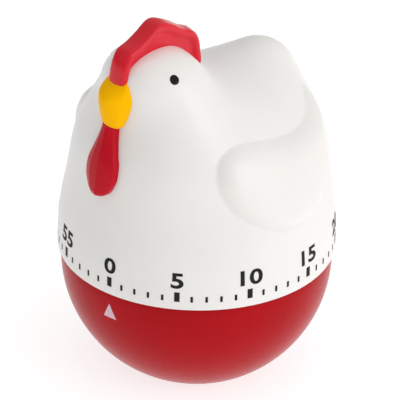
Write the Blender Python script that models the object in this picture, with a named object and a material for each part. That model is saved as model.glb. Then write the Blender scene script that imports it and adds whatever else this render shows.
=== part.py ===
"""Hen-shaped clockwork kitchen timer: a white hen that turns on a red cup.

The hen faces -Y and the cup stands on Z = 0.  Sizes are in millimetres and each mesh is
scaled to metres when it is made.  The hen is the timer's dial: turning it winds the
mainspring, and the gear train lets it run back to zero in an hour.
"""
import math

import bpy
import bmesh
import numpy as np
from mathutils import Vector
from mathutils.geometry import tessellate_polygon

MM = 0.001

# ---------------------------------------------------------------- driving dimensions
SEAM_Z = 28.6              # underside of the hen's skirt
SKIRT_R = 31.0             # straight skirt that carries the minute scale
SKIRT_TOP_Z = 29.6         # above this the body starts to close in
BODY_HEIGHT = 39.9         # from SKIRT_TOP_Z to the top of the plain egg
BODY_POWER = 2.27          # squareness of the egg's profile
SHELL_WALL = 1.6
HEAD_TOP = (0.0, -13.9, 73.1)
HEAD_TOP_R = 9.1
HEAD_NECK = (0.0, -12.4, 59.4)
HEAD_NECK_R = 12.5
HEAD_WIDENING = 1.31       # the head is this much wider than deep
HEAD_BLEND = 12.0
BROW = (0.0, -20.2, 76.1)  # swelling that carries the beak and the end of the comb
BROW_R = 3.8
BROW_BLEND = 6.4
TAIL_TIP = (0.0, 19.6, 65.0)
TAIL_TIP_R = 6.3
TAIL_ROOT = (0.0, 14.3, 53.1)
TAIL_ROOT_R = 14.2
TAIL_WIDENING = 1.06
TAIL_BLEND = 10.9
SHELL_CENTRE_Z = 48.6      # every point of the shell is seen from here
SHELL_COLUMNS = 64
SHELL_ROWS = 32
LINING_ROWS = 12
FIT_GAP = 0.25             # between the shell and the pieces set into it

WING_HEIGHT = 2.1          # how far a wing stands out of the body
WING_EDGE = 4.5            # width of the wing's rounded border
WING_POINTS = [(-15.5, 58.0), (-14.0, 62.0), (-9.8, 63.8), (-4.0, 63.1), (3.0, 61.5),
               (10.0, 60.8), (16.5, 61.8), (21.2, 64.6), (21.4, 59.5), (17.5, 51.4),
               (10.5, 45.6), (1.5, 43.6), (-7.0, 45.8), (-12.8, 50.1), (-15.2, 54.6)]

COMB_HALF_WIDTH = 2.5
COMB_EDGE = 0.6            # width of the comb's bevelled edge
COMB_POINTS = [(-25.5, 76.9), (-25.1, 79.0), (-24.3, 82.0), (-22.9, 84.1), (-20.0, 85.1),
               (-17.2, 86.5), (-14.6, 88.0), (-12.4, 88.0), (-9.6, 86.5), (-6.8, 84.6),
               (-4.3, 83.4), (-2.6, 81.6), (-1.8, 78.5), (-2.0, 74.0), (-9.0, 74.0),
               (-18.0, 75.0), (-23.4, 76.6)]
COMB_TONGUE = (1.6, -18.0, -9.0, 77.6, 84.4)   # half width, front Y, back Y, lower Z, upper Z

BEAK_SIDE = [(2.0, 66.8), (2.8, 68.1), (3.7, 70.8), (4.2, 73.3), (4.0, 75.3), (2.7, 76.0)]
BEAK_EDGE = 1.1            # how far the rim stands out
BEAK_BULGE = 1.9           # how much farther the middle stands out
BEAK_PEG = (72.0, 1.5)     # height and radius
WATTLE_SIDE = [(1.6, 51.9), (3.2, 53.3), (4.1, 55.6), (4.1, 58.9), (3.2, 61.6), (2.3, 64.1),
               (1.6, 65.9)]
WATTLE_EDGE = 1.2
WATTLE_BULGE = 1.1
WATTLE_PEG = (58.0, 1.2)
PAD_BACK_Y = -12.0         # the pads start well inside the hen and are cut at its surface
EYE_PLACE = (-16.8, 78.6)  # Y and Z
EYE_R = 1.3
EYE_SINK = 0.65            # how far the middle of an eye's bead lies below the surface
EYE_PEG_R = 0.55

CUP_R = 30.3
CUP_DEPTH = 30.1
CUP_EQUATOR_Z = 26.0
CUP_WALL = 1.6
CUP_FLOOR = 1.8
LIP_R = 29.8               # the rim rounds inward under the skirt's edge
LIP_TOP_Z = 28.3
LEDGE_Z = 11.3             # the movement's lower plate rests here
LEDGE_R = 21.3
LEDGE_LOW_Z = 9.0

PLATE_R = 24.0
PLATE_THICK = 0.8
LOWER_PLATE_Z = 11.5
UPPER_PLATE_Z = 22.5
PILLAR_PLACE = 21.5        # distance from the centre
PILLAR_ANGLES = (60.0, 208.0, 320.0)
PILLAR_R = 1.5
STUD_R = 0.8               # threaded ends of a pillar
STUD_HOLE_R = 0.95
STUD_LENGTH = 1.9
POST_R = 0.9               # the release lever's post
POST_PIN_R = 0.55
MAIN_HOLE_R = 1.3          # lower pivot hole of the main arbor
HAMMER_HOLE_R = 0.88
MOVEMENT_SCREW_PLACE = 22.6
MOVEMENT_SCREW_ANGLES = (20.0, 140.0, 260.0)
NUT_R = 1.9

CARRIER_HUB_R = 4.0
CARRIER_LOW_Z = 25.2       # foot of the carrier's hub
CARRIER_Z = 29.9           # underside of its disc
CARRIER_TOP_Z = 31.5
CARRIER_R = 28.8
ARBOR_FOOT_Z = 10.9
ARBOR_SHOULDER_Z = 12.7
ARBOR_TOP_Z = 31.0
SCREW_DRILLING_Z = 27.0
GREAT_WHEEL_Z = 17.6
RATCHET_Z = 18.6
CAM_Z = 20.6
COLLAR_Z = 21.4
SECOND_PINION_Z = 17.2
SECOND_WHEEL_Z = 19.4
THIRD_PINION_Z = 19.0
THIRD_WHEEL_Z = 21.0
ESCAPE_PINION_Z = 20.6
ESCAPE_WHEEL_Z = 14.5
PALLET_LEVER_Z = 15.6
BALANCE_Z = 17.0
WHEEL_THICK = 0.6
GREAT_WHEEL_THICK = 0.8
SPRING_LOW_Z = 13.2
SPRING_HIGH_Z = 16.8
RELEASE_LEVER_Z = 20.5
HAMMER_FOOT_Z = 8.0
HAMMER_ARM_Z = 8.4
HAMMER_TAIL_Z = 14.5

GREAT_TEETH, SECOND_TEETH, THIRD_TEETH, ESCAPE_TEETH = 48, 42, 48, 15
SECOND_PINION, THIRD_PINION, ESCAPE_PINION = 8, 7, 8
GREAT_MODULE, SECOND_MODULE, THIRD_MODULE = 0.45, 0.40, 0.30
ESCAPE_R = 4.5
SECOND_ANGLE = 90.0        # direction of the second arbor from the centre
THIRD_PLACE = 15.0         # distance of the third and escape arbors from the centre
PALLET_PLACE = 16.0
PALLET_TO_ESCAPE = 5.9
ARBOR_R = 0.7
ESCAPE_ARBOR_R = 0.5
PIVOT_R = 0.42
MAIN_ARBOR_R = 2.0
FLAT_X = 1.3               # the flat that makes the main arbor D-shaped
RUNNING = 0.07             # radial clearance of a pivot in its hole

CAM_R = 6.8
CAM_NOTCH_ANGLE = 330.0
LEVER_POST = (17.0, 290.0)     # distance and angle
HAMMER_POST = (17.5, 250.0)
HAMMER_HEAD = (16.2, 216.0)
BELL_R = 14.0
BELL_RIM_Z = 5.0
BELL_TOP_Z = 9.3
BELL_THICK = 0.6

# ---------------------------------------------------------------- colours
COLOURS = {                # colour, roughness, metallic
    "white_plastic": ((0.88, 0.86, 0.83), 0.38, 0.0),
    "red_plastic": ((0.55, 0.010, 0.020), 0.30, 0.0),
    "comb_plastic": ((0.62, 0.012, 0.040), 0.32, 0.0),
    "wattle_plastic": ((0.45, 0.012, 0.030), 0.34, 0.0),
    "yellow_plastic": ((1.00, 0.48, 0.010), 0.34, 0.0),
    "black_plastic": ((0.012, 0.012, 0.012), 0.15, 0.0),
    "inner_plastic": ((0.72, 0.70, 0.66), 0.55, 0.0),
    "steel": ((0.62, 0.62, 0.63), 0.32, 1.0),
    "spring_steel": ((0.30, 0.34, 0.42), 0.28, 1.0),
    "brass": ((0.80, 0.58, 0.26), 0.30, 1.0),
    "bell_metal": ((0.72, 0.72, 0.70), 0.18, 1.0),
}


def material(name):
    """Return the named Principled material, made the first time it is asked for."""
    found = bpy.data.materials.get(name)
    if found:
        return found
    colour, roughness, metallic = COLOURS[name]
    made = bpy.data.materials.new(name)
    made.use_nodes = True
    shader = made.node_tree.nodes["Principled BSDF"]
    shader.inputs["Base Color"].default_value = (*colour, 1.0)
    shader.inputs["Roughness"].default_value = roughness
    shader.inputs["Metallic"].default_value = metallic
    made.diffuse_color = (*colour, 1.0)
    return made


# ---------------------------------------------------------------- mesh helpers
def add_object(name, points, faces, slot, origin=(0.0, 0.0, 0.0), smooth_angle=35.0):
    """Make an object from millimetre points, with its origin at the given place."""
    base = Vector(origin)
    mesh = bpy.data.meshes.new(name)
    mesh.from_pydata([(Vector(p) - base) * MM for p in points], [], faces)
    tidy = bmesh.new()
    tidy.from_mesh(mesh)
    bmesh.ops.recalc_face_normals(tidy, faces=tidy.faces)
    tidy.to_mesh(mesh)
    tidy.free()
    mesh.shade_smooth()
    mesh.set_sharp_from_angle(angle=math.radians(smooth_angle))
    mesh.materials.append(material(slot))
    made = bpy.data.objects.new(name, mesh)
    made.location = base * MM
    bpy.context.scene.collection.objects.link(made)
    return made


def tool(made):
    """Mark an object as a cutter or a guide, which isn't a piece of the timer."""
    made.hide_render = True
    made.display_type = "WIRE"
    return made


def boolean(target, other, operation="DIFFERENCE"):
    """Cut one object with another, or join them."""
    step = target.modifiers.new(operation.title() + "_" + other.name, "BOOLEAN")
    step.object = other
    step.operation = operation
    step.solver = "EXACT"


def polar(radius, degrees, z=0.0):
    """A point at a distance and an angle from the Z axis."""
    angle = math.radians(degrees)
    return (radius * math.cos(angle), radius * math.sin(angle), z)


def circle(centre, radius, count):
    """A closed loop of points, counter-clockwise."""
    turn = 2 * math.pi / count
    return [(centre[0] + radius * math.cos(i * turn), centre[1] + radius * math.sin(i * turn))
            for i in range(count)]


def hull(circles, count=16):
    """The convex outline around a few circles, each given as (centre, radius)."""
    cloud = sorted(p for centre, radius in circles for p in circle(centre, radius, count))

    def chain(points):
        kept = []
        for p in points:
            while len(kept) > 1 and cross(kept[-2], kept[-1], p) <= 1e-9:
                kept.pop()
            kept.append(p)
        return kept[:-1]

    return chain(cloud) + chain(cloud[::-1])


def cross(a, b, c):
    """Twice the signed area of a triangle."""
    return (b[0] - a[0]) * (c[1] - a[1]) - (b[1] - a[1]) * (c[0] - a[0])


def smooth_loop(points, steps):
    """A closed Catmull-Rom curve through the points."""
    made = []
    count = len(points)
    for i in range(count):
        a, b, c, d = (np.array(points[(i + k) % count]) for k in (-1, 0, 1, 2))
        for step in range(steps):
            t = step / steps
            made.append(tuple(b + 0.5 * t * (c - a + t * (2 * a - 5 * b + 4 * c - d
                                                          + t * (3 * (b - c) + d - a)))))
    return made


def flat_plate(name, outline, holes, low_z, thick, slot, origin=(0.0, 0.0)):
    """A flat plate of constant thickness with holes through it."""
    loops = [outline] + holes
    count = sum(len(loop) for loop in loops)
    points = [(*p, z) for z in (low_z, low_z + thick) for loop in loops for p in loop]
    caps = tessellate_polygon([[Vector((*p, 0.0)) for p in loop] for loop in loops])
    faces = [tuple(t) for t in caps] + [tuple(i + count for i in t) for t in caps]
    start = 0
    for loop in loops:
        size = len(loop)
        for i in range(size):
            a, b = start + i, start + (i + 1) % size
            faces.append((a, b, b + count, a + count))
        start += size
    return add_object(name, points, faces, slot, (*origin, low_z), 30.0)


def turned(name, profile, slot, centre=(0.0, 0.0), count=24, flat=None):
    """Turn a profile of (radius, z) about an upright axis.

    The profile starts and ends on the axis, or closes on itself.  Where the radius is
    at most flat[0], points past X = flat[1] are pulled back to it, for a D section.
    """
    on_axis = profile[0][0] == 0.0
    points, rings = [], []
    for radius, z in profile:
        if radius == 0.0:
            rings.append([len(points)])
            points.append((centre[0], centre[1], z))
            continue
        ring = []
        for i in range(count):
            x, y, _ = polar(radius, 360.0 * i / count)
            if flat and radius <= flat[0]:
                x = min(x, flat[1])
            ring.append(len(points))
            points.append((centre[0] + x, centre[1] + y, z))
        rings.append(ring)
    faces = []
    pairs = list(zip(rings, rings[1:]))
    if not on_axis:
        pairs.append((rings[-1], rings[0]))
    for low, high in pairs:
        for i in range(count):
            j = (i + 1) % count
            if len(low) == 1:
                faces.append((low[0], high[i], high[j]))
            elif len(high) == 1:
                faces.append((low[i], low[j], high[0]))
            else:
                faces.append((low[i], low[j], high[j], high[i]))
    return add_object(name, points, faces, slot, (*centre, profile[0][1]))


def rod(name, centre, radius, low_z, high_z, slot, count=12):
    """A plain upright cylinder."""
    profile = [(0.0, low_z), (radius, low_z), (radius, high_z), (0.0, high_z)]
    return turned(name, profile, slot, centre[:2], count)


def peg_along(name, start, end, radius, slot, count=12):
    """A cylinder between two points."""
    start, end = Vector(start), Vector(end)
    axis = (end - start).normalized()
    side = axis.orthogonal().normalized()
    across = axis.cross(side)
    points = [place + radius * (math.cos(2 * math.pi * i / count) * side
                                + math.sin(2 * math.pi * i / count) * across)
              for place in (start, end) for i in range(count)]
    faces = [tuple(range(count))[::-1], tuple(range(count, 2 * count))]
    faces += [(i, (i + 1) % count, (i + 1) % count + count, i + count) for i in range(count)]
    return add_object(name, points, faces, slot)


# ---------------------------------------------------------------- shape of the hen
def round_cone(points, start, end, start_r, end_r, widening):
    """Distance to a cone with round ends, widened along X."""
    narrowed = points / np.array([widening, 1.0, 1.0])
    start, end = np.array(start), np.array(end)
    axis = end - start
    length2 = axis @ axis
    taper = start_r - end_r
    slope2 = length2 - taper * taper
    reach = narrowed - start
    along = reach @ axis
    beyond = along - length2
    off2 = ((reach * length2 - axis * along[..., None]) ** 2).sum(-1)
    side = math.copysign(taper * taper, taper) * off2
    distance = (np.sqrt(off2 * slope2 / length2) + along * taper) / length2 - start_r
    before = np.sign(along) * slope2 * along ** 2 * length2 < side
    past = np.sign(beyond) * slope2 * beyond ** 2 * length2 > side
    distance = np.where(before, np.sqrt(off2 + along ** 2 * length2) / length2 - start_r, distance)
    return np.where(past, np.sqrt(off2 + beyond ** 2 * length2) / length2 - end_r, distance)


def egg(points):
    """Distance to the plain body: a straight skirt closed by a squarish dome."""
    across = np.hypot(points[..., 0], points[..., 1]) / SKIRT_R
    up = np.maximum(points[..., 2] - SKIRT_TOP_Z, 0.0) / BODY_HEIGHT
    power = BODY_POWER
    return ((across ** power + up ** power) ** (1 / power) - 1) * SKIRT_R * 0.9


def blend(first, second, width):
    """Smooth union of two distances."""
    share = np.clip(0.5 + 0.5 * (second - first) / width, 0, 1)
    return second * (1 - share) + first * share - width * share * (1 - share)


def hen(points):
    """Distance to the hen's body, negative inside."""
    head = round_cone(points, HEAD_TOP, HEAD_NECK, HEAD_TOP_R, HEAD_NECK_R, HEAD_WIDENING)
    narrowed = points / np.array([HEAD_WIDENING, 1.0, 1.0])
    brow = np.linalg.norm(narrowed - np.array(BROW), axis=-1) - BROW_R
    head = blend(head, brow, BROW_BLEND)
    tail = round_cone(points, TAIL_TIP, TAIL_ROOT, TAIL_TIP_R, TAIL_ROOT_R, TAIL_WIDENING)
    return blend(blend(egg(points), head, HEAD_BLEND), tail, TAIL_BLEND)


def outward(start, direction, level, reach=70.0):
    """Where rays from a start inside the hen meet the surface hen(p) = level."""
    low = np.zeros(direction.shape[:-1])
    high = np.full(direction.shape[:-1], reach)
    for _ in range(40):
        middle = 0.5 * (low + high)
        inside = hen(start + middle[..., None] * direction) < level
        low = np.where(inside, middle, low)
        high = np.where(inside, high, middle)
    return start + low[..., None] * direction


def outline_distance(y, z, outline):
    """Signed distance from points of the YZ plane to a closed outline, positive inside."""
    loop = np.array(outline)
    nearest = np.full(y.shape, 1e9)
    inside = np.zeros(y.shape, bool)
    for (y1, z1), (y2, z2) in zip(loop, np.roll(loop, -1, axis=0)):
        dy, dz = y2 - y1, z2 - z1
        t = np.clip(((y - y1) * dy + (z - z1) * dz) / (dy * dy + dz * dz), 0, 1)
        nearest = np.minimum(nearest, np.hypot(y - y1 - t * dy, z - z1 - t * dz))
        crosses = (z1 > z) != (z2 > z)
        at = y1 + (z - z1) * dy / (dz if dz else 1e-9)
        inside ^= crosses & (y < at)
    return np.where(inside, nearest, -nearest)


def wing_relief(points):
    """How far the wings stand out at points of the surface."""
    outline = smooth_loop(WING_POINTS, 4)
    inside = outline_distance(points[..., 1], points[..., 2], outline)
    share = np.clip(inside / WING_EDGE, 0, 1)
    return WING_HEIGHT * share * (2 - share)


def body_grid(level, rows, relief=False):
    """Rows of surface points from the rim to just below the crown, then the crown."""
    start = np.array([0.0, 0.0, SHELL_CENTRE_Z])
    rim_radius = SKIRT_R * (1 + level / (SKIRT_R * 0.9))
    rim_angle = math.atan2(rim_radius, SEAM_Z - SHELL_CENTRE_Z)
    polar_angles = np.linspace(rim_angle, 0.0, rows + 1)[:-1]
    turns = np.arange(SHELL_COLUMNS) * 2 * math.pi / SHELL_COLUMNS
    tilt, turn = np.meshgrid(polar_angles, turns, indexing="ij")
    direction = np.stack([np.sin(tilt) * np.cos(turn), np.sin(tilt) * np.sin(turn),
                          np.cos(tilt)], axis=-1)
    points = outward(start, direction, level)
    if relief:
        points = points + wing_relief(points)[..., None] * direction
    crown = outward(start, np.array([0.0, 0.0, 1.0]), level)
    return points, crown


def grid_faces(rows, first, crown):
    """Quads between rows of SHELL_COLUMNS points, and a fan to the crown."""
    count = SHELL_COLUMNS
    faces = []
    for row in range(rows):
        for i in range(count):
            a = first + row * count + i
            b = first + row * count + (i + 1) % count
            if row == rows - 1:
                faces.append((a, b, crown))
            else:
                faces.append((a, b, b + count, a + count))
    return faces


def make_hen_cutter():
    """The hen's solid, larger by the fit gap: what is set into the hen is cut by it."""
    points, crown = body_grid(FIT_GAP, SHELL_ROWS)
    listed = [tuple(p) for p in points.reshape(-1, 3)] + [tuple(crown)]
    faces = grid_faces(SHELL_ROWS, 0, len(listed) - 1)
    faces.append(tuple(range(SHELL_COLUMNS))[::-1])
    return tool(add_object("hen_cutter", listed, faces, "white_plastic"))


def make_hen_shell():
    """The hollow white body, open below."""
    outer, crown = body_grid(0.0, SHELL_ROWS, relief=True)
    inner, inner_crown = body_grid(-SHELL_WALL, LINING_ROWS)
    listed = [tuple(p) for p in outer.reshape(-1, 3)] + [tuple(crown)]
    first_inner = len(listed)
    listed += [tuple(p) for p in inner.reshape(-1, 3)] + [tuple(inner_crown)]
    faces = grid_faces(SHELL_ROWS, 0, first_inner - 1)
    faces += [f[::-1] for f in grid_faces(LINING_ROWS, first_inner, len(listed) - 1)]
    for i in range(SHELL_COLUMNS):
        j = (i + 1) % SHELL_COLUMNS
        faces.append((i, first_inner + i, first_inner + j, j))
    return add_object("hen_shell", listed, faces, "white_plastic", smooth_angle=50.0)


def front_y(x, z):
    """Y of the hen's front at a given width and height."""
    start = np.array([x, 0.0, z])
    return outward(start, np.array([0.0, -1.0, 0.0]), 0.0)[1]


def mirrored(side):
    """A closed smooth outline from its +X side, listed from the bottom up."""
    return smooth_loop(side + [(-x, z) for x, z in side[::-1]], 2)


def front_pad(name, side, edge, bulge, power, slot, rings=5):
    """A pad on the hen's front, with a steep rim and a rounded face.

    The face falls from the middle to the rim as 1 - share ** power.
    """
    rim = np.array(mirrored(side))
    count = len(rim)
    middle = rim.mean(axis=0)
    points = []
    for ring in range(rings):
        share = 1 - ring / rings
        lift = FIT_GAP + edge + bulge * (1 - share ** power)
        for x, z in middle + share * (rim - middle):
            points.append((x, front_y(x, z) - lift, z))
    tip = len(points)
    points.append((middle[0], front_y(*middle) - FIT_GAP - edge - bulge, middle[1]))
    back = len(points)
    points += [(x, PAD_BACK_Y, z) for x, z in rim]
    faces = [tuple(range(back, back + count))]
    for i in range(count):
        j = (i + 1) % count
        faces.append((back + i, back + j, j, i))
        for ring in range(rings - 1):
            a, b = ring * count + i, ring * count + j
            faces.append((a, b, b + count, a + count))
        faces.append(((rings - 1) * count + i, (rings - 1) * count + j, tip))
    return add_object(name, points, faces, slot)


# ---------------------------------------------------------------- pieces of the hen
def build_comb(shell, cutter):
    """The comb, a thick plate with a tongue that goes into a slot in the head."""
    outline = smooth_loop(COMB_POINTS, 3)
    count = len(outline)
    centre = np.mean(outline, axis=0)
    points = []
    for x, inset in ((-COMB_HALF_WIDTH, COMB_EDGE), (COMB_EDGE - COMB_HALF_WIDTH, 0.0),
                     (COMB_HALF_WIDTH - COMB_EDGE, 0.0), (COMB_HALF_WIDTH, COMB_EDGE)):
        for p in outline:
            towards = centre - np.array(p)
            y, z = np.array(p) + inset * towards / np.linalg.norm(towards)
            points.append((x, y, z))
    faces = [tuple(range(count))[::-1], tuple(range(3 * count, 4 * count))]
    for band in range(3):
        for i in range(count):
            a, b = band * count + i, band * count + (i + 1) % count
            faces.append((a, b, b + count, a + count))
    comb = add_object("comb", points, faces, "comb_plastic", smooth_angle=40.0)
    boolean(comb, cutter)
    half, front, back, low, high = COMB_TONGUE
    tongue = tool(box("comb_tongue", (-half, front, low), (half, back, high), "comb_plastic"))
    slot_depth, slot_top = 4.0, 95.0
    slot = tool(box("comb_slot", (-half - FIT_GAP, front - FIT_GAP, low - slot_depth),
                    (half + FIT_GAP, back + FIT_GAP, slot_top), "comb_plastic"))
    boolean(comb, tongue, "UNION")
    boolean(shell, slot)


def build_front_pads(shell, cutter):
    """The beak and the wattle, each with a peg that goes into a hole in the shell."""
    beak = front_pad("beak", BEAK_SIDE, BEAK_EDGE, BEAK_BULGE, 1.8, "yellow_plastic")
    wattle = front_pad("wattle", WATTLE_SIDE, WATTLE_EDGE, WATTLE_BULGE, 3.0, "wattle_plastic")
    peg_length, hole_front, hole_back = 3.0, -5.0, 4.5
    for piece, (z, radius) in ((beak, BEAK_PEG), (wattle, WATTLE_PEG)):
        face = front_y(0.0, z)
        peg = tool(peg_along(piece.name + "_peg", (0, face - 1.0, z), (0, face + peg_length, z),
                             radius, "black_plastic"))
        hole = tool(peg_along(piece.name + "_hole", (0, face + hole_front, z),
                              (0, face + hole_back, z), radius + FIT_GAP, "black_plastic"))
        boolean(piece, cutter)
        boolean(piece, peg, "UNION")
        boolean(shell, hole)


def build_eyes(shell, cutter):
    """Two round beads, each with a peg that goes into a hole in the shell."""
    y, z = EYE_PLACE
    surface = float(outward(np.array([0.0, y, z]), np.array([1.0, 0.0, 0.0]), 0.0)[0])
    for side, name in ((-1, "eye_right"), (1, "eye_left")):
        bead = bmesh.new()
        bmesh.ops.create_uvsphere(bead, u_segments=12, v_segments=8, radius=EYE_R)
        bmesh.ops.translate(bead, verts=bead.verts, vec=(side * (surface - EYE_SINK), y, z))
        points = [tuple(v.co) for v in bead.verts]
        faces = [tuple(v.index for v in f.verts) for f in bead.faces]
        bead.free()
        eye = add_object(name, points, faces, "black_plastic")
        peg = tool(peg_along(name + "_peg", (side * (surface - 2.6), y, z),
                             (side * (surface + 0.6), y, z), EYE_PEG_R, "black_plastic"))
        hole = tool(peg_along(name + "_hole", (side * (surface - 4.0), y, z),
                              (side * (surface + 2.0), y, z), EYE_PEG_R + 0.2, "black_plastic"))
        boolean(eye, cutter)
        boolean(eye, peg, "UNION")
        boolean(shell, hole)


def build_hen():
    """The hollow hen, and the comb, beak, wattle and eyes set into it."""
    cutter = make_hen_cutter()
    shell = make_hen_shell()
    build_comb(shell, cutter)
    build_front_pads(shell, cutter)
    build_eyes(shell, cutter)


def box(name, low, high, slot):
    """An upright box between two corners."""
    points = [(x, y, z) for z in (low[2], high[2])
              for x, y in ((low[0], low[1]), (high[0], low[1]), (high[0], high[1]),
                           (low[0], high[1]))]
    faces = [(3, 2, 1, 0), (4, 5, 6, 7), (0, 1, 5, 4), (1, 2, 6, 5), (2, 3, 7, 6), (3, 0, 4, 7)]
    return add_object(name, points, faces, slot)


# ---------------------------------------------------------------- red cup
def cup_radius(z, radius, depth):
    """Radius of the cup's ellipsoid at a height."""
    drop = (CUP_EQUATOR_Z - z) / depth
    return radius * math.sqrt(max(0.0, 1 - drop * drop))


def build_cup():
    """The red cup, with a flat foot, a rounded rim and the ledge for the movement."""
    inner_r, inner_depth = CUP_R - CUP_WALL, CUP_DEPTH - CUP_WALL
    outer_z = [0.0, 1.0, 2.4, 4.4, 7.0, 10.0, 13.5, 17.5, 21.5, 24.5, CUP_EQUATOR_Z]
    profile = [(0.0, 0.0)] + [(cup_radius(z, CUP_R, CUP_DEPTH), z) for z in outer_z]
    for share in (0.45, 0.8, 1.0):
        bulge = math.sqrt(1.0 - share ** 2)
        profile.append((LIP_R + (CUP_R - LIP_R) * bulge,
                        CUP_EQUATOR_Z + (LIP_TOP_Z - CUP_EQUATOR_Z) * share))
    profile.append((inner_r, LIP_TOP_Z))
    profile += [(cup_radius(z, inner_r, inner_depth), z) for z in (22.0, 16.5, LEDGE_Z)]
    profile += [(LEDGE_R, LEDGE_Z), (LEDGE_R, LEDGE_LOW_Z)]
    profile += [(cup_radius(z, inner_r, inner_depth), z) for z in (7.4, 5.0, 3.0, CUP_FLOOR)]
    profile.append((0.0, CUP_FLOOR))
    cup = turned("base_cup", profile, "red_plastic", count=48)
    for i, angle in enumerate(MOVEMENT_SCREW_ANGLES):
        place = polar(MOVEMENT_SCREW_PLACE, angle)
        boolean(cup, tool(rod(f"ledge_hole_{i + 1}", place, 0.85, 9.6, LEDGE_Z + 1, "steel")))
        low = LOWER_PLATE_Z + PLATE_THICK + 0.1
        profile = [(0.0, 9.9), (0.7, 9.9), (0.7, low), (1.5, low), (1.5, low + 0.6),
                   (1.2, low + 0.9), (0.0, low + 0.9)]
        turned(f"movement_screw_{i + 1}", profile, "steel", place[:2], 12)


# ---------------------------------------------------------------- layout of the train
def third_angle():
    """Direction of the third arbor, in mesh with the second wheel."""
    near = (GREAT_TEETH + SECOND_PINION) * GREAT_MODULE / 2
    far = THIRD_PLACE
    apart = (SECOND_TEETH + THIRD_PINION) * SECOND_MODULE / 2
    return SECOND_ANGLE + math.degrees(
        math.acos((near * near + far * far - apart * apart) / (2 * near * far)))


def escape_angle():
    """Direction of the escape arbor, in mesh with the third wheel."""
    apart = (THIRD_TEETH + ESCAPE_PINION) * THIRD_MODULE / 2
    return third_angle() + 2 * math.degrees(math.asin(apart / 2 / THIRD_PLACE))


def pallet_angle():
    """Direction of the pallet arbor."""
    near, far, apart = THIRD_PLACE, PALLET_PLACE, PALLET_TO_ESCAPE
    return escape_angle() + math.degrees(
        math.acos((near * near + far * far - apart * apart) / (2 * near * far)))


SECOND = polar((GREAT_TEETH + SECOND_PINION) * GREAT_MODULE / 2, SECOND_ANGLE)[:2]
THIRD = polar(THIRD_PLACE, third_angle())[:2]
ESCAPE = polar(THIRD_PLACE, escape_angle())[:2]
PALLET = polar(PALLET_PLACE, pallet_angle())[:2]
LEVER = polar(*LEVER_POST)[:2]
HAMMER = polar(*HAMMER_POST)[:2]


def heading(start, end):
    """Angle in degrees of the line from one point to another."""
    return math.degrees(math.atan2(end[1] - start[1], end[0] - start[0]))


# ---------------------------------------------------------------- plates and posts
def build_frame():
    """Two plates on three pillars, which hold every arbor."""
    pivot = PIVOT_R + RUNNING
    pillars = [polar(PILLAR_PLACE, a)[:2] for a in PILLAR_ANGLES]
    screws = [polar(MOVEMENT_SCREW_PLACE, a)[:2] for a in MOVEMENT_SCREW_ANGLES]
    arbors = [circle(p, pivot, 12) for p in (SECOND, THIRD, ESCAPE, PALLET)]
    lower_holes = arbors + [circle((0, 0), MAIN_HOLE_R, 16), circle(HAMMER, HAMMER_HOLE_R, 12),
                            circle(LEVER, POST_PIN_R + 0.1, 12)]
    lower_holes += [circle(p, STUD_HOLE_R, 12) for p in pillars]
    lower_holes += [circle(p, STUD_HOLE_R, 12) for p in screws]
    flat_plate("lower_plate", circle((0, 0), PLATE_R, 36), lower_holes, LOWER_PLATE_Z,
               PLATE_THICK, "steel")
    upper_holes = arbors + [circle((0, 0), MAIN_ARBOR_R + 0.1, 24), circle(HAMMER, pivot, 12),
                            circle(LEVER, POST_PIN_R + 0.1, 12)]
    upper_holes += [circle(p, STUD_HOLE_R, 12) for p in pillars]
    flat_plate("upper_plate", circle((0, 0), PLATE_R, 36), upper_holes, UPPER_PLATE_Z,
               PLATE_THICK, "steel")
    low = LOWER_PLATE_Z + PLATE_THICK + 0.1
    high = UPPER_PLATE_Z - 0.1
    for i, place in enumerate(pillars):
        profile = [(0.0, LOWER_PLATE_Z - 0.1), (STUD_R, LOWER_PLATE_Z - 0.1), (STUD_R, low),
                   (PILLAR_R, low), (PILLAR_R, high), (STUD_R, high),
                   (STUD_R, high + STUD_LENGTH), (0.0, high + STUD_LENGTH)]
        turned(f"pillar_{i + 1}", profile, "steel", place, 12)
        nut_z = UPPER_PLATE_Z + PLATE_THICK + 0.1
        flat_plate(f"pillar_nut_{i + 1}", circle(place, NUT_R, 6), [circle(place, STUD_HOLE_R, 12)],
                   nut_z, 0.8, "brass", place)
    profile = [(0.0, LOWER_PLATE_Z - 0.1), (POST_PIN_R, LOWER_PLATE_Z - 0.1), (POST_PIN_R, low),
               (POST_R, low), (POST_R, high), (POST_PIN_R, high),
               (POST_PIN_R, high + PLATE_THICK + 0.2), (0.0, high + PLATE_THICK + 0.2)]
    turned("lever_post", profile, "steel", LEVER, 12)


def arbor(name, centre, radius, low_pivot=LOWER_PLATE_Z - 0.3):
    """A steel arbor with a thin pivot at each end."""
    low = LOWER_PLATE_Z + PLATE_THICK + 0.3
    high = UPPER_PLATE_Z - 0.3
    profile = [(0.0, low_pivot), (PIVOT_R, low_pivot), (PIVOT_R, low), (radius, low),
               (radius, high), (PIVOT_R, high), (PIVOT_R, high + 1.4), (0.0, high + 1.4)]
    return turned(name, profile, "steel", centre, 12)


def gear(name, centre, teeth, module, phase, bore, low_z, thick, slot, pinion=False):
    """A spur gear with straight-sided teeth; phase is the angle of one tooth in degrees."""
    pitch = teeth * module / 2
    root = pitch - 1.25 * module
    tip = pitch + (0.7 if pinion else 0.9) * module
    root_half, tip_half = (0.20, 0.10) if pinion else (0.28, 0.10)
    step = 360.0 / teeth
    outline = []
    for i in range(teeth):
        middle = phase + i * step
        for radius, share in ((root, -root_half), (tip, -tip_half), (tip, tip_half),
                              (root, root_half)):
            x, y, _ = polar(radius, middle + share * step)
            outline.append((centre[0] + x, centre[1] + y))
    holes = [circle(centre, bore, 16)]
    return flat_plate(name, outline, holes, low_z, thick, slot, centre)


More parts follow.
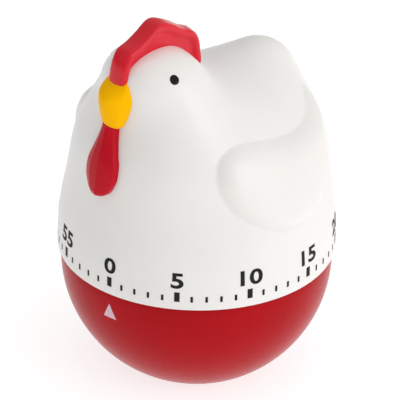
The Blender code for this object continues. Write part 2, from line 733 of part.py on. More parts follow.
def ratchet_outline(centre, teeth, outer, inner, phase):
    """Saw teeth."""
    outline = []
    for i in range(teeth):
        for radius, share in ((inner, 0.04), (outer, 0.86), (outer, 0.96)):
            x, y, _ = polar(radius, phase + (i + share) * 360.0 / teeth)
            outline.append((centre[0] + x, centre[1] + y))
    return outline


# ---------------------------------------------------------------- what turns with the hen
def build_winding():
    """The carrier under the hen, the main arbor and what is fixed on it."""
    bore = MAIN_ARBOR_R + 0.1
    profile = [(bore, CARRIER_LOW_Z), (CARRIER_HUB_R, CARRIER_LOW_Z), (CARRIER_HUB_R, CARRIER_Z),
               (CARRIER_R, CARRIER_Z), (CARRIER_R, CARRIER_TOP_Z), (bore, CARRIER_TOP_Z)]
    turned("carrier_disc", profile, "inner_plastic", count=36, flat=(bore, FLAT_X + 0.1))
    turned("main_arbor", arbor_profile(), "steel", flat=(MAIN_ARBOR_R - 0.01, FLAT_X))
    head_z = CARRIER_TOP_Z + 0.1
    profile = [(0.0, SCREW_DRILLING_Z + 0.6), (0.65, SCREW_DRILLING_Z + 0.6), (0.65, head_z),
               (2.9, head_z), (2.9, head_z + 0.7), (2.3, head_z + 1.2), (0.0, head_z + 1.2)]
    turned("carrier_screw", profile, "steel", count=16)
    gear("great_wheel", (0.0, 0.0), GREAT_TEETH, GREAT_MODULE, SECOND_ANGLE, bore, GREAT_WHEEL_Z,
         GREAT_WHEEL_THICK, "brass")
    hole = [circle((0, 0), bore, 16)]
    flat_plate("ratchet_wheel", ratchet_outline((0, 0), 16, 5.0, 4.3, 0.0), hole, RATCHET_Z,
               WHEEL_THICK, "steel")
    stud = polar(7.6, 235.0)[:2]
    nose = polar(5.5, 262.0)[:2]
    flat_plate("click", hull([(stud, 1.1), (nose, 0.35)], 12), [circle(stud, 0.6, 10)], RATCHET_Z,
               WHEEL_THICK, "steel", stud)
    rod("click_stud", stud, 0.5, RATCHET_Z - 0.1, RATCHET_Z + WHEEL_THICK + 0.1, "steel")
    spring_foot = polar(9.3, 275.0)[:2]
    spring_end = polar(6.5, 268.0)[:2]
    flat_plate("click_spring", hull([(spring_end, 0.15), (spring_foot, 0.35)], 10), [],
               RATCHET_Z, 0.5, "spring_steel", spring_foot)
    flat_plate("stop_cam", cam_outline(), hole, CAM_Z, WHEEL_THICK, "steel")
    flat_plate("arbor_collar", circle((0, 0), 3.2, 16), hole, COLLAR_Z, 0.8, "brass")


def arbor_profile():
    """Profile of the main arbor; its upper end is D-shaped and drilled for a screw."""
    foot_r, drilling_r = 1.2, 0.8
    d_radius = MAIN_ARBOR_R - 0.02
    d_low = UPPER_PLATE_Z + 2.1
    return [(0.0, ARBOR_FOOT_Z), (foot_r, ARBOR_FOOT_Z), (foot_r, ARBOR_SHOULDER_Z),
            (MAIN_ARBOR_R, ARBOR_SHOULDER_Z), (MAIN_ARBOR_R, d_low), (d_radius, d_low + 0.1),
            (d_radius, ARBOR_TOP_Z), (drilling_r, ARBOR_TOP_Z), (drilling_r, SCREW_DRILLING_Z),
            (0.0, SCREW_DRILLING_Z)]


def cam_outline():
    """A disc with one notch in its rim."""
    half_notch, depth = 16.0, 2.1
    steps = 36
    outline = []
    for i in range(steps):
        angle = CAM_NOTCH_ANGLE + half_notch + i * (360.0 - 2 * half_notch) / (steps - 1)
        outline.append(polar(CAM_R, angle)[:2])
    for share in (-0.8, 0.8):
        outline.append(polar(CAM_R - depth, CAM_NOTCH_ANGLE + share * half_notch)[:2])
    return outline


# ---------------------------------------------------------------- gear train
def build_train():
    """Second, third and escape arbors with their wheels and pinions."""
    second_to_third = heading(SECOND, THIRD)
    third_to_escape = heading(THIRD, ESCAPE)
    bore = ARBOR_R + 0.06
    arbor("second_arbor", SECOND, ARBOR_R)
    gear("second_pinion", SECOND, SECOND_PINION, GREAT_MODULE,
         SECOND_ANGLE + 180.0 + 180.0 / SECOND_PINION, bore, SECOND_PINION_Z, 1.6, "steel",
         pinion=True)
    gear("second_wheel", SECOND, SECOND_TEETH, SECOND_MODULE, second_to_third, bore,
         SECOND_WHEEL_Z, WHEEL_THICK, "brass")
    arbor("third_arbor", THIRD, ARBOR_R)
    gear("third_pinion", THIRD, THIRD_PINION, SECOND_MODULE,
         second_to_third + 180.0 + 180.0 / THIRD_PINION, bore, THIRD_PINION_Z, 1.4, "steel",
         pinion=True)
    gear("third_wheel", THIRD, THIRD_TEETH, THIRD_MODULE, third_to_escape, bore, THIRD_WHEEL_Z,
         WHEEL_THICK, "brass")
    arbor("escape_arbor", ESCAPE, ESCAPE_ARBOR_R)
    bore = ESCAPE_ARBOR_R + 0.06
    gear("escape_pinion", ESCAPE, ESCAPE_PINION, THIRD_MODULE,
         third_to_escape + 180.0 + 180.0 / ESCAPE_PINION, bore, ESCAPE_PINION_Z, 1.3, "steel",
         pinion=True)
    flat_plate("escape_wheel", ratchet_outline(ESCAPE, ESCAPE_TEETH, ESCAPE_R, 3.5, 0.0),
               [circle(ESCAPE, bore, 12)], ESCAPE_WHEEL_Z, WHEEL_THICK, "brass", ESCAPE)


def build_pallet():
    """The pin-pallet lever and the balance wheel on its arbor."""
    arbor("pallet_arbor", PALLET, ESCAPE_ARBOR_R)
    bore = ESCAPE_ARBOR_R + 0.06
    line = heading(ESCAPE, PALLET)
    pins = []
    for side in (-1, 1):
        x, y, _ = polar(ESCAPE_R + 0.6, line + side * 28.0)
        pins.append((ESCAPE[0] + x, ESCAPE[1] + y))
    flat_plate("pallet_lever", hull([(PALLET, 1.3), (pins[0], 0.55), (pins[1], 0.55)], 12),
               [circle(PALLET, bore, 12), circle(pins[0], 0.3, 8), circle(pins[1], 0.3, 8)],
               PALLET_LEVER_Z, 0.5, "steel", PALLET)
    for name, pin in (("entry_pin", pins[0]), ("exit_pin", pins[1])):
        rod(name, pin, 0.24, ESCAPE_WHEEL_Z - 0.3, PALLET_LEVER_Z + 0.6, "steel", 8)
    windows = []
    for side in (0, 180):
        window = [polar(3.1, side + a) for a in (20, 50, 90, 130, 160)]
        window += [polar(1.5, side + a) for a in (140, 90, 40)]
        windows.append([(PALLET[0] + x, PALLET[1] + y) for x, y, _ in window])
    flat_plate("balance_wheel", circle(PALLET, 4.1, 24), [circle(PALLET, bore, 12)] + windows,
               BALANCE_Z, 0.9, "brass", PALLET)


# ---------------------------------------------------------------- spring, bell and levers
def build_mainspring():
    """A flat spiral strip, and the post that holds its outer end."""
    inner, outer, turns, per_turn = 2.6, 9.0, 4, 18
    thick, low_z, high_z = 0.25, SPRING_LOW_Z, SPRING_HIGH_Z
    count = turns * per_turn
    points = []
    for i in range(count + 1):
        radius = inner + (outer - inner) * i / count
        angle = 300.0 + 360.0 * (i - count) / per_turn
        for r, z in ((radius - thick / 2, low_z), (radius + thick / 2, low_z),
                     (radius + thick / 2, high_z), (radius - thick / 2, high_z)):
            points.append(polar(r, angle, z))
    faces = [(3, 2, 1, 0), tuple(4 * count + k for k in range(4))]
    for i in range(count):
        for k in range(4):
            a, b = 4 * i + k, 4 * i + (k + 1) % 4
            faces.append((a, b, b + 4, a + 4))
    add_object("mainspring", points, faces, "spring_steel")
    rod("spring_post", polar(outer + 1.1, 300.0), 0.8, LOWER_PLATE_Z + PLATE_THICK + 0.1,
        SPRING_HIGH_Z + 0.3, "steel")


def build_bell():
    """A shallow steel gong on a post in the middle of the cup."""
    shoulder_z, crown_z, top = 7.8, 8.9, BELL_TOP_Z
    hole_r, boss_r, crown_r = 1.0, 2.4, BELL_R - 5.5
    outer = [(BELL_R, BELL_RIM_Z), (BELL_R - 0.1, 6.2), (BELL_R - 1.6, shoulder_z),
             (crown_r, crown_z), (boss_r, top), (hole_r, top)]
    inner = [(hole_r, top - BELL_THICK), (boss_r, top - BELL_THICK),
             (crown_r - 0.1, crown_z - BELL_THICK), (BELL_R - 2.0, shoulder_z - BELL_THICK),
             (BELL_R - BELL_THICK, 6.1), (BELL_R - BELL_THICK, BELL_RIM_Z)]
    turned("bell", outer + inner, "bell_metal", count=24)
    low, post_top, drilling_z = CUP_FLOOR + 0.1, 8.5, 6.0
    profile = [(0.0, low), (4.0, low), (3.4, 3.0), (2.0, 3.6), (2.0, post_top), (0.8, post_top),
               (0.8, drilling_z), (0.0, drilling_z)]
    turned("bell_post", profile, "inner_plastic", count=16)
    head_z = BELL_TOP_Z + 0.15
    profile = [(0.0, drilling_z + 0.3), (0.65, drilling_z + 0.3), (0.65, head_z), (2.0, head_z),
               (2.0, head_z + 0.45), (1.5, head_z + 0.85), (0.0, head_z + 0.85)]
    turned("bell_screw", profile, "steel", count=16)


def build_levers():
    """The release lever on its post, and the hammer that strikes the bell."""
    nose = polar(CAM_R + 0.85, CAM_NOTCH_ANGLE)[:2]
    back = [LEVER[k] - 0.45 * (nose[k] - LEVER[k]) for k in (0, 1)]
    flat_plate("release_lever", hull([(LEVER, 1.9), (nose, 0.7), (back, 0.8)]),
               [circle(LEVER, 1.0, 16)], RELEASE_LEVER_Z, 0.8, "steel", LEVER)

    shaft_low = LOWER_PLATE_Z + PLATE_THICK + 0.3
    high = UPPER_PLATE_Z - 0.3
    profile = [(0.0, HAMMER_FOOT_Z), (0.8, HAMMER_FOOT_Z), (0.8, shaft_low), (1.0, shaft_low),
               (1.0, high), (PIVOT_R, high), (PIVOT_R, high + 1.4), (0.0, high + 1.4)]
    turned("hammer_arbor", profile, "steel", HAMMER, 12)
    head = polar(*HAMMER_HEAD)[:2]
    flat_plate("hammer_arm", hull([(HAMMER, 1.6), (head, 1.0)], 12),
               [circle(HAMMER, 0.86, 12)], HAMMER_ARM_Z, WHEEL_THICK, "steel", HAMMER)
    rod("hammer_head", head, 1.3, BELL_RIM_Z + 0.6, HAMMER_ARM_Z - 0.1, "brass", 16)
    tail = polar(12.4, 264.0)[:2]
    flat_plate("hammer_tail", hull([(HAMMER, 1.7), (tail, 0.6)], 12),
               [circle(HAMMER, 1.06, 12)], HAMMER_TAIL_Z, WHEEL_THICK, "steel", HAMMER)


for old in list(bpy.data.objects):
    bpy.data.objects.remove(old, do_unlink=True)
build_hen()
build_cup()
build_frame()
build_winding()
build_train()
build_pallet()
build_mainspring()
build_bell()
build_levers()
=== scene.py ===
"""Looks of the hen-shaped kitchen timer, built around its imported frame.

Lengths inside the shape functions are millimetres in the frame's own axes: the hen faces
-Y and stands on Z = 0.  Meshes are scaled to metres when they are made.
"""
import math

import bmesh
import bpy
import numpy as np
from mathutils import Matrix, Vector
from mathutils.geometry import delaunay_2d_cdt


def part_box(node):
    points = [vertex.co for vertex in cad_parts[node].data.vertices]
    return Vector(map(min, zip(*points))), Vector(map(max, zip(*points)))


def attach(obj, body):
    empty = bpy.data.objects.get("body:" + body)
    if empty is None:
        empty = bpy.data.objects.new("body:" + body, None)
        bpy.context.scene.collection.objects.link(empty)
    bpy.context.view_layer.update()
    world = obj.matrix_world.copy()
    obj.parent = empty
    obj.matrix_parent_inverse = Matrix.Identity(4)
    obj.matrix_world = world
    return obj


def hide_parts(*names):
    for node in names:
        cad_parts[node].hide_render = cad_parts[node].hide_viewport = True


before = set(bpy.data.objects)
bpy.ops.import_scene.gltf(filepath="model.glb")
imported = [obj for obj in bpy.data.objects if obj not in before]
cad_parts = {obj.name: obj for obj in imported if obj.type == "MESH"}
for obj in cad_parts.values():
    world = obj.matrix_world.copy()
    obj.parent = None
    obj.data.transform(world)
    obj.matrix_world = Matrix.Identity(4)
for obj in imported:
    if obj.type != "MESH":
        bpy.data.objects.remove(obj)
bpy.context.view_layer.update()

MM = 0.001


# ---------------------------------------------------------------- driving dimensions
def node_size(node):
    """Lowest and highest corners of a CAD node, in millimetres."""
    low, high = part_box(node)
    return np.array(low) / MM, np.array(high) / MM


SHELL_LOW, _ = node_size("hen_shell")
_, CUP_HIGH = node_size("base_cup")
_, COMB_HIGH = node_size("comb")

SEAM_Z = SHELL_LOW[2]
SKIRT_R = 31.0
SKIRT_TOP_Z = SEAM_Z + 1.0
BODY_HEIGHT = 39.9
BODY_POWER = 2.27
SHELL_WALL = 1.6
HEAD_TOP, HEAD_TOP_R = (0.0, -13.9, 73.1), 9.1
HEAD_NECK, HEAD_NECK_R = (0.0, -12.4, 59.4), 12.5
HEAD_WIDENING = 1.31
HEAD_BLEND = 12.0
BROW, BROW_R = (0.0, -20.2, 76.1), 3.8
BROW_BLEND = 6.4
TAIL_TIP, TAIL_TIP_R = (0.0, 19.6, 65.0), 6.3
TAIL_ROOT, TAIL_ROOT_R = (0.0, 14.3, 53.1), 14.2
TAIL_WIDENING = 1.06
TAIL_BLEND = 10.9
SHELL_CENTRE_Z = 48.6      # rays from here meet the surface once
SHELL_COLUMNS = 360
SHELL_ROWS = 190
LINING_ROWS = 40
EGG_SCALE = 0.9            # brings the egg's values near true distances
LONGEST_RAY = 70.0

WING_HEIGHT = 2.1
WING_EDGE = 4.5            # width of a wing's rounded border
WING_POINTS = [(-15.5, 58.0), (-14.0, 62.0), (-9.8, 63.8), (-4.0, 63.1), (3.0, 61.5),
               (10.0, 60.8), (16.5, 61.8), (21.2, 64.6), (21.4, 59.5), (17.5, 51.4),
               (10.5, 45.6), (1.5, 43.6), (-7.0, 45.8), (-12.8, 50.1), (-15.2, 54.6)]

COMB_HALF_WIDTH = COMB_HIGH[0]
COMB_POINTS = [(-25.3, 76.4), (-25.2, 79.0), (-24.4, 82.0), (-22.9, 84.1), (-20.0, 85.1),
               (-17.2, 86.5), (-14.6, 88.0), (-12.4, 88.0), (-9.6, 86.5), (-6.8, 84.6),
               (-4.3, 83.4), (-2.6, 81.6), (-1.8, 78.5), (-2.0, 74.0), (-9.0, 74.0),
               (-18.0, 74.5), (-23.2, 75.8)]
COMB_EDGE = 0.95           # radius of the comb's rounded edge
COMB_DISH = 0.85           # how far its sides are hollowed
COMB_RIM = 1.0             # width of the raised rim round a hollow
COMB_SLOPE = 1.5           # width of the slope from the rim down to the hollow
COMB_CREST = 0.30          # the crease that runs along the middle of its edge
COMB_END_Z = 75.9          # lower end of the comb, over the beak
COMB_END_HEIGHT = 2.0      # the stretch over which that end rounds off

BEAK_X = -0.2              # middle of the beak
BEAK_SIDE = [(1.7, 67.1), (2.4, 67.4), (2.9, 68.4), (3.7, 70.8), (4.3, 73.3), (4.2, 75.0),
             (3.6, 76.6), (2.5, 78.2)]
BEAK_MIDDLE_Z = 72.6
BEAK_HALF = (4.6, 6.6)     # half width and half height of its bulge
BEAK_EDGE = 1.5            # how far its border stands off the hen
BEAK_BULGE = 2.35          # how far its middle rises over the border
BEAK_TUCK = (78.6, 4.0)    # top, and height, of the stretch that dips under the comb
WATTLE_X = -0.65           # middle of the wattle
WATTLE_SIDE = [(0.5, 51.3), (1.6, 51.55), (2.6, 52.3), (3.4, 53.6), (4.1, 55.4), (4.25, 57.2),
               (4.1, 59.2), (3.35, 61.5), (2.6, 64.0), (2.05, 66.3), (1.9, 67.6)]
WATTLE_FACETS = [(-1.0, 1.7), (-0.5, 2.4), (0.1, 2.65), (0.52, 2.3), (1.0, 1.5)]
WATTLE_NECK_Z = 60.0       # above this it stays full while it narrows
SHEET_SUNK = 1.6           # how far the backs of beak and wattle lie behind their fronts
EYE_PLACE = (-16.8, 78.6)  # Y and Z
EYE_R = 1.06
EYE_DOME = 0.11            # height of the bead over its edge
EYE_SUNK = 0.05            # how far its edge's plane lies below the surface
EYE_PEG_R = 0.8
EYE_PEG_LENGTH = 1.2
EYE_TALLNESS = 1.08

CUP_R = 30.3
CUP_DEPTH = 30.1
CUP_EQUATOR_Z = 26.0
CUP_WALL = 1.6
LIP_R = 29.8               # the rim rounds inward under the skirt's edge
LIP_TOP_Z = CUP_HIGH[2] + 0.15
CUP_FLOOR_Z = 1.8
LEDGE_R = 21.3             # the movement stands on a ledge inside the cup
LEDGE_Z = 11.3
LEDGE_LOW_Z = 9.0

SCALE_ZERO = 7.4           # degrees from the hen's front to the zero mark
MINUTES = 60
MARK_LOW_Z = 30.57         # lower ends of all the marks
MINOR_MARK = (0.55, 1.4)   # width and height
MAJOR_MARK = (1.2, 2.3)
NUMBER_Z = 35.65           # middle of the numbers
NUMBER_HEIGHT = 3.7
NUMBER_WIDENING = 1.29
ONE_BEARING = 0.75         # degrees that a number with a leading 1 stands on from its mark
POINTER_ANGLE = 6.4
POINTER = (3.6, 3.65, 25.6)    # width, height and the Z of its tip
PRINT_PROUD = 0.04         # how far the printing stands off the surface
PRINT_SUNK = 0.12
LABEL_STEP = 5             # minutes from one number to the next

CAMERA_AZIMUTH = 45.0
CAMERA_ELEVATION = 30.07
CAMERA_ROLL = 0.885
CAMERA_DISTANCE = 1.0
CAMERA_LENS = 403.0        # millimetres on a 36 mm sensor
CAMERA_SHIFT = (0.00840, 0.0975)

# The studio's places are in metres.
BRIGHT_SIDE = (0.50, 0.35, 0.79)
SURROUND_STRENGTH = 0.96
FLOOR_HALF = 6.0
FLOOR_Z = -0.0001          # just under the cup's foot, so that the two don't coincide
FLOOR_GLOW = 0.76
LIGHT_TARGET = (0.0, 0.0, 0.045)


# ---------------------------------------------------------------- materials
def new_material(name):
    """A node material and its shader node."""
    made = bpy.data.materials.new(name)
    made.use_nodes = True
    return made, made.node_tree, made.node_tree.nodes["Principled BSDF"]


def noise(tree, scale, detail, stretch=(1, 1, 1)):
    """A noise texture in object space, with the scale in features per metre."""
    place = tree.nodes.new("ShaderNodeTexCoord")
    mapping = tree.nodes.new("ShaderNodeMapping")
    mapping.inputs["Scale"].default_value = stretch
    texture = tree.nodes.new("ShaderNodeTexNoise")
    texture.inputs["Scale"].default_value = scale
    texture.inputs["Detail"].default_value = detail
    texture.inputs["Roughness"].default_value = 0.55
    tree.links.new(place.outputs["Object"], mapping.inputs["Vector"])
    tree.links.new(mapping.outputs["Vector"], texture.inputs["Vector"])
    return texture.outputs["Fac"]


def ramp(tree, factor, low, high):
    """Colours run from low to high over the middle of a 0 to 1 factor."""
    node = tree.nodes.new("ShaderNodeValToRGB")
    start, end = node.color_ramp.elements
    start.position, start.color = 0.3, (*low, 1.0)
    end.position, end.color = 0.7, (*high, 1.0)
    tree.links.new(factor, node.inputs["Fac"])
    return node.outputs["Color"]


def span(tree, factor, low, high):
    """Map a 0 to 1 factor to a range of values."""
    node = tree.nodes.new("ShaderNodeMapRange")
    node.inputs["To Min"].default_value = low
    node.inputs["To Max"].default_value = high
    tree.links.new(factor, node.inputs["Value"])
    return node.outputs["Result"]


def bump(tree, factor, strength, distance, below=None):
    """A bump node fed by a height, which may stand on another bump."""
    node = tree.nodes.new("ShaderNodeBump")
    node.inputs["Strength"].default_value = strength
    node.inputs["Distance"].default_value = distance
    tree.links.new(factor, node.inputs["Height"])
    if below is not None:
        tree.links.new(below, node.inputs["Normal"])
    return node.outputs["Normal"]


def moulded_plastic(name, colour, shade, rough, shine=0.5, scatter=0.0,
                    scatter_colour=(1, 1, 1)):
    """Glossy moulded plastic: faint mottling, soft waviness and a fine skin texture."""
    made, tree, shader = new_material(name)
    tone = ramp(tree, noise(tree, 60.0, 3.0), shade, colour)
    tree.links.new(tone, shader.inputs["Base Color"])
    polish = span(tree, noise(tree, 260.0, 5.0), rough - 0.04, rough + 0.05)
    tree.links.new(polish, shader.inputs["Roughness"])
    wave = bump(tree, noise(tree, 45.0, 1.0), 0.03, 0.0003)
    skin = bump(tree, noise(tree, 3200.0, 2.0), 0.012, 0.00002, wave)
    tree.links.new(skin, shader.inputs["Normal"])
    shader.inputs["IOR"].default_value = 1.5
    shader.inputs["Specular IOR Level"].default_value = shine
    shader.inputs["Subsurface Weight"].default_value = scatter
    shader.inputs["Subsurface Radius"].default_value = scatter_colour
    shader.inputs["Subsurface Scale"].default_value = 0.0015
    return made


def printed_ink(name, colour, shade):
    """A thin matt ink film with a slightly uneven edge tone."""
    made, tree, shader = new_material(name)
    tone = ramp(tree, noise(tree, 1500.0, 4.0), shade, colour)
    tree.links.new(tone, shader.inputs["Base Color"])
    tree.links.new(span(tree, noise(tree, 2400.0, 3.0), 0.42, 0.62), shader.inputs["Roughness"])
    shader.inputs["Specular IOR Level"].default_value = 0.1
    tree.links.new(bump(tree, noise(tree, 5000.0, 2.0), 0.08, 0.00003), shader.inputs["Normal"])
    return made


def metal(name, colour, shade, rough, stretch):
    """Bare metal with a fine grain, stretched the way it was worked, and small stains."""
    made, tree, shader = new_material(name)
    shader.inputs["Metallic"].default_value = 1.0
    tone = ramp(tree, noise(tree, 300.0, 5.0), shade, colour)
    tree.links.new(tone, shader.inputs["Base Color"])
    lines = noise(tree, 900.0, 6.0, stretch)
    tree.links.new(span(tree, lines, rough - 0.08, rough + 0.12), shader.inputs["Roughness"])
    tree.links.new(bump(tree, lines, 0.12, 0.00005), shader.inputs["Normal"])
    return made


MATERIALS = {
    "white": moulded_plastic("white_abs", (0.845, 0.828, 0.806), (0.82, 0.80, 0.776), 0.36,
                             scatter=0.25, scatter_colour=(1.0, 0.8, 0.6)),
    "cup": moulded_plastic("cup_red", (0.43, 0.002, 0.007), (0.39, 0.0015, 0.005), 0.26, 0.10),
    "comb": moulded_plastic("comb_red", (0.70, 0.004, 0.020), (0.65, 0.003, 0.016), 0.24, 0.36),
    "wattle": moulded_plastic("wattle_red", (0.53, 0.004, 0.016), (0.48, 0.003, 0.013), 0.28,
                              0.12),
    "beak": moulded_plastic("beak_yellow", (1.0, 0.51, 0.0), (0.98, 0.47, 0.0), 0.38, 0.03),
    "eye": moulded_plastic("eye_black", (0.003, 0.003, 0.003), (0.002, 0.002, 0.002), 0.10, 0.2),
    "inner": moulded_plastic("inner_abs", (0.70, 0.68, 0.63), (0.64, 0.62, 0.58), 0.52),
    "ink": printed_ink("scale_ink", (0.020, 0.020, 0.016), (0.014, 0.014, 0.011)),
    "pointer": printed_ink("pointer_ink", (0.74, 0.54, 0.62), (0.68, 0.49, 0.57)),
    "steel": metal("pressed_steel", (0.66, 0.66, 0.67), (0.52, 0.52, 0.53), 0.30, (1, 12, 1)),
    "turned_steel": metal("turned_steel", (0.70, 0.70, 0.71), (0.58, 0.58, 0.60), 0.24,
                          (1, 1, 14)),
    "spring": metal("blued_steel", (0.20, 0.25, 0.36), (0.12, 0.14, 0.20), 0.26, (1, 1, 20)),
    "brass": metal("stamped_brass", (0.83, 0.61, 0.27), (0.68, 0.47, 0.18), 0.28, (10, 1, 1)),
    "gong": metal("gong_steel", (0.74, 0.73, 0.70), (0.62, 0.61, 0.58), 0.16, (1, 1, 10)),
}


# ---------------------------------------------------------------- mesh helpers
def add_piece(name, points, faces, look, body, smooth_angle=40.0):
    """Make a closed piece from millimetre points, riding on a body."""
    mesh = bpy.data.meshes.new(name)
    mesh.from_pydata([Vector(p) * MM for p in points], [], faces)
    tidy = bmesh.new()
    tidy.from_mesh(mesh)
    bmesh.ops.recalc_face_normals(tidy, faces=tidy.faces)
    tidy.to_mesh(mesh)
    tidy.free()
    mesh.shade_smooth()
    mesh.set_sharp_from_angle(angle=math.radians(smooth_angle))
    mesh.materials.append(MATERIALS[look])
    made = bpy.data.objects.new(name, mesh)
    bpy.context.scene.collection.objects.link(made)
    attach(made, body)
    return made


def spline(a, b, c, d, t):
    """Point at share t of a Catmull-Rom curve's stretch from b to c."""
    return b + 0.5 * t * (c - a + t * (2 * a - 5 * b + 4 * c - d + t * (3 * (b - c) + d - a)))


def smooth_loop(points, steps):
    """A closed smooth curve through the points."""
    made = []
    count = len(points)
    for i in range(count):
        four = [np.array(points[(i + k) % count]) for k in (-1, 0, 1, 2)]
        made += [tuple(spline(*four, step / steps)) for step in range(steps)]
    return made


def lathe(profile, count, centre, side, up, axis):
    """Points and faces of a profile of (radius, height) turned about an axis.

    A radius of 0 makes a single point, so a profile that starts and ends on the axis is closed.
    """
    points, rings = [], []
    for radius, height in profile:
        turns = range(count if radius else 1)
        rings.append([len(points) + i for i in turns])
        for i in turns:
            angle = 2 * math.pi * i / count
            offset = radius * (math.cos(angle) * side + math.sin(angle) * up)
            points.append(tuple(centre + height * axis + offset))
    faces = []
    for low, high in zip(rings, rings[1:]):
        for i in range(count):
            j = (i + 1) % count
            if len(low) == 1:
                faces.append((low[0], high[i], high[j]))
            elif len(high) == 1:
                faces.append((low[i], low[j], high[0]))
            else:
                faces.append((low[i], low[j], high[j], high[i]))
    return points, faces


# ---------------------------------------------------------------- shape of the hen
def round_cone(points, start, end, start_r, end_r, widening):
    """Distance to a cone with round ends, widened along X."""
    narrowed = points / np.array([widening, 1.0, 1.0])
    start, end = np.array(start), np.array(end)
    axis = end - start
    length2 = axis @ axis
    taper = start_r - end_r
    slope2 = length2 - taper * taper
    reach = narrowed - start
    along = reach @ axis
    beyond = along - length2
    off2 = ((reach * length2 - axis * along[..., None]) ** 2).sum(-1)
    side = math.copysign(taper * taper, taper) * off2
    distance = (np.sqrt(off2 * slope2 / length2) + along * taper) / length2 - start_r
    before = np.sign(along) * slope2 * along ** 2 * length2 < side
    past = np.sign(beyond) * slope2 * beyond ** 2 * length2 > side
    distance = np.where(before, np.sqrt(off2 + along ** 2 * length2) / length2 - start_r, distance)
    return np.where(past, np.sqrt(off2 + beyond ** 2 * length2) / length2 - end_r, distance)


def egg(points):
    """Distance to the plain body: a straight skirt closed by a squarish dome."""
    across = np.hypot(points[..., 0], points[..., 1]) / SKIRT_R
    up = np.maximum(points[..., 2] - SKIRT_TOP_Z, 0.0) / BODY_HEIGHT
    power = BODY_POWER
    return ((across ** power + up ** power) ** (1 / power) - 1) * SKIRT_R * EGG_SCALE


def blend(first, second, width):
    """Smooth union of two distances."""
    share = np.clip(0.5 + 0.5 * (second - first) / width, 0, 1)
    return second * (1 - share) + first * share - width * share * (1 - share)


def hen(points):
    """Distance to the hen's body, negative inside."""
    head = round_cone(points, HEAD_TOP, HEAD_NECK, HEAD_TOP_R, HEAD_NECK_R, HEAD_WIDENING)
    narrowed = points / np.array([HEAD_WIDENING, 1.0, 1.0])
    brow = np.linalg.norm(narrowed - np.array(BROW), axis=-1) - BROW_R
    head = blend(head, brow, BROW_BLEND)
    tail = round_cone(points, TAIL_TIP, TAIL_ROOT, TAIL_TIP_R, TAIL_ROOT_R, TAIL_WIDENING)
    return blend(blend(egg(points), head, HEAD_BLEND), tail, TAIL_BLEND)


def outward(start, direction, level=0.0):
    """Where rays from a start inside the hen meet the surface hen(p) = level."""
    low = np.zeros(direction.shape[:-1])
    high = np.full(direction.shape[:-1], LONGEST_RAY)
    for _ in range(30):
        middle = 0.5 * (low + high)
        inside = hen(start + middle[..., None] * direction) < level
        low = np.where(inside, middle, low)
        high = np.where(inside, high, middle)
    return start + low[..., None] * direction


def outline_distance(y, z, outline):
    """Signed distance from points of the YZ plane to a closed outline, positive inside."""
    loop = np.array(outline)
    nearest = np.full(y.shape, 1e9)
    inside = np.zeros(y.shape, bool)
    for (y1, z1), (y2, z2) in zip(loop, np.roll(loop, -1, axis=0)):
        dy, dz = y2 - y1, z2 - z1
        t = np.clip(((y - y1) * dy + (z - z1) * dz) / (dy * dy + dz * dz), 0, 1)
        nearest = np.minimum(nearest, np.hypot(y - y1 - t * dy, z - z1 - t * dz))
        crosses = (z1 > z) != (z2 > z)
        at = y1 + (z - z1) * dy / (dz if dz else 1e-9)
        inside ^= crosses & (y < at)
    return np.where(inside, nearest, -nearest)


def ease(value):
    """Smooth step from 0 to 1."""
    share = np.clip(value, 0, 1)
    return share * share * (3 - 2 * share)


def wing_relief(points):
    """How far the wings stand out at points of the surface."""
    outline = smooth_loop(WING_POINTS, 8)
    inside = outline_distance(points[..., 1], points[..., 2], outline)
    share = np.clip(inside / WING_EDGE, 0, 1)
    return WING_HEIGHT * share * (2 - share)


# ---------------------------------------------------------------- hen's body
def shell_layer(level, columns, rows, relief):
    """Surface points in rows from the rim up, and the crown point."""
    start = np.array([0.0, 0.0, SHELL_CENTRE_Z])
    rim_radius = SKIRT_R + level / EGG_SCALE
    rim_angle = math.atan2(rim_radius, SEAM_Z - SHELL_CENTRE_Z)
    tilt, turn = np.meshgrid(np.linspace(rim_angle, 0.0, rows + 1)[:-1],
                             np.arange(columns) * 2 * math.pi / columns, indexing="ij")
    direction = np.stack([np.sin(tilt) * np.cos(turn), np.sin(tilt) * np.sin(turn),
                          np.cos(tilt)], axis=-1)
    points = outward(start, direction, level)
    if relief:
        points = points + wing_relief(points)[..., None] * direction
    crown = outward(start, np.array([0.0, 0.0, 1.0]), level)
    return [tuple(p) for p in points.reshape(-1, 3)] + [tuple(crown)]


def layer_faces(columns, rows, first):
    """Quads between rows, and a fan to the crown."""
    crown = first + rows * columns
    faces = []
    for row in range(rows):
        for i in range(columns):
            a = first + row * columns + i
            b = first + row * columns + (i + 1) % columns
            if row == rows - 1:
                faces.append((a, b, crown))
            else:
                faces.append((a, b, b + columns, a + columns))
    return faces


def build_body():
    """The hollow white hen with its wings and tail."""
    outer = shell_layer(0.0, SHELL_COLUMNS, SHELL_ROWS, True)
    inner = shell_layer(-SHELL_WALL, SHELL_COLUMNS, LINING_ROWS, False)
    faces = layer_faces(SHELL_COLUMNS, SHELL_ROWS, 0)
    faces += [f[::-1] for f in layer_faces(SHELL_COLUMNS, LINING_ROWS, len(outer))]
    for i in range(SHELL_COLUMNS):
        j = (i + 1) % SHELL_COLUMNS
        faces.append((i, len(outer) + i, len(outer) + j, j))
    body = add_piece("hen_body", outer + inner, faces, "white", "dial", 60.0)
    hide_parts("hen_shell")


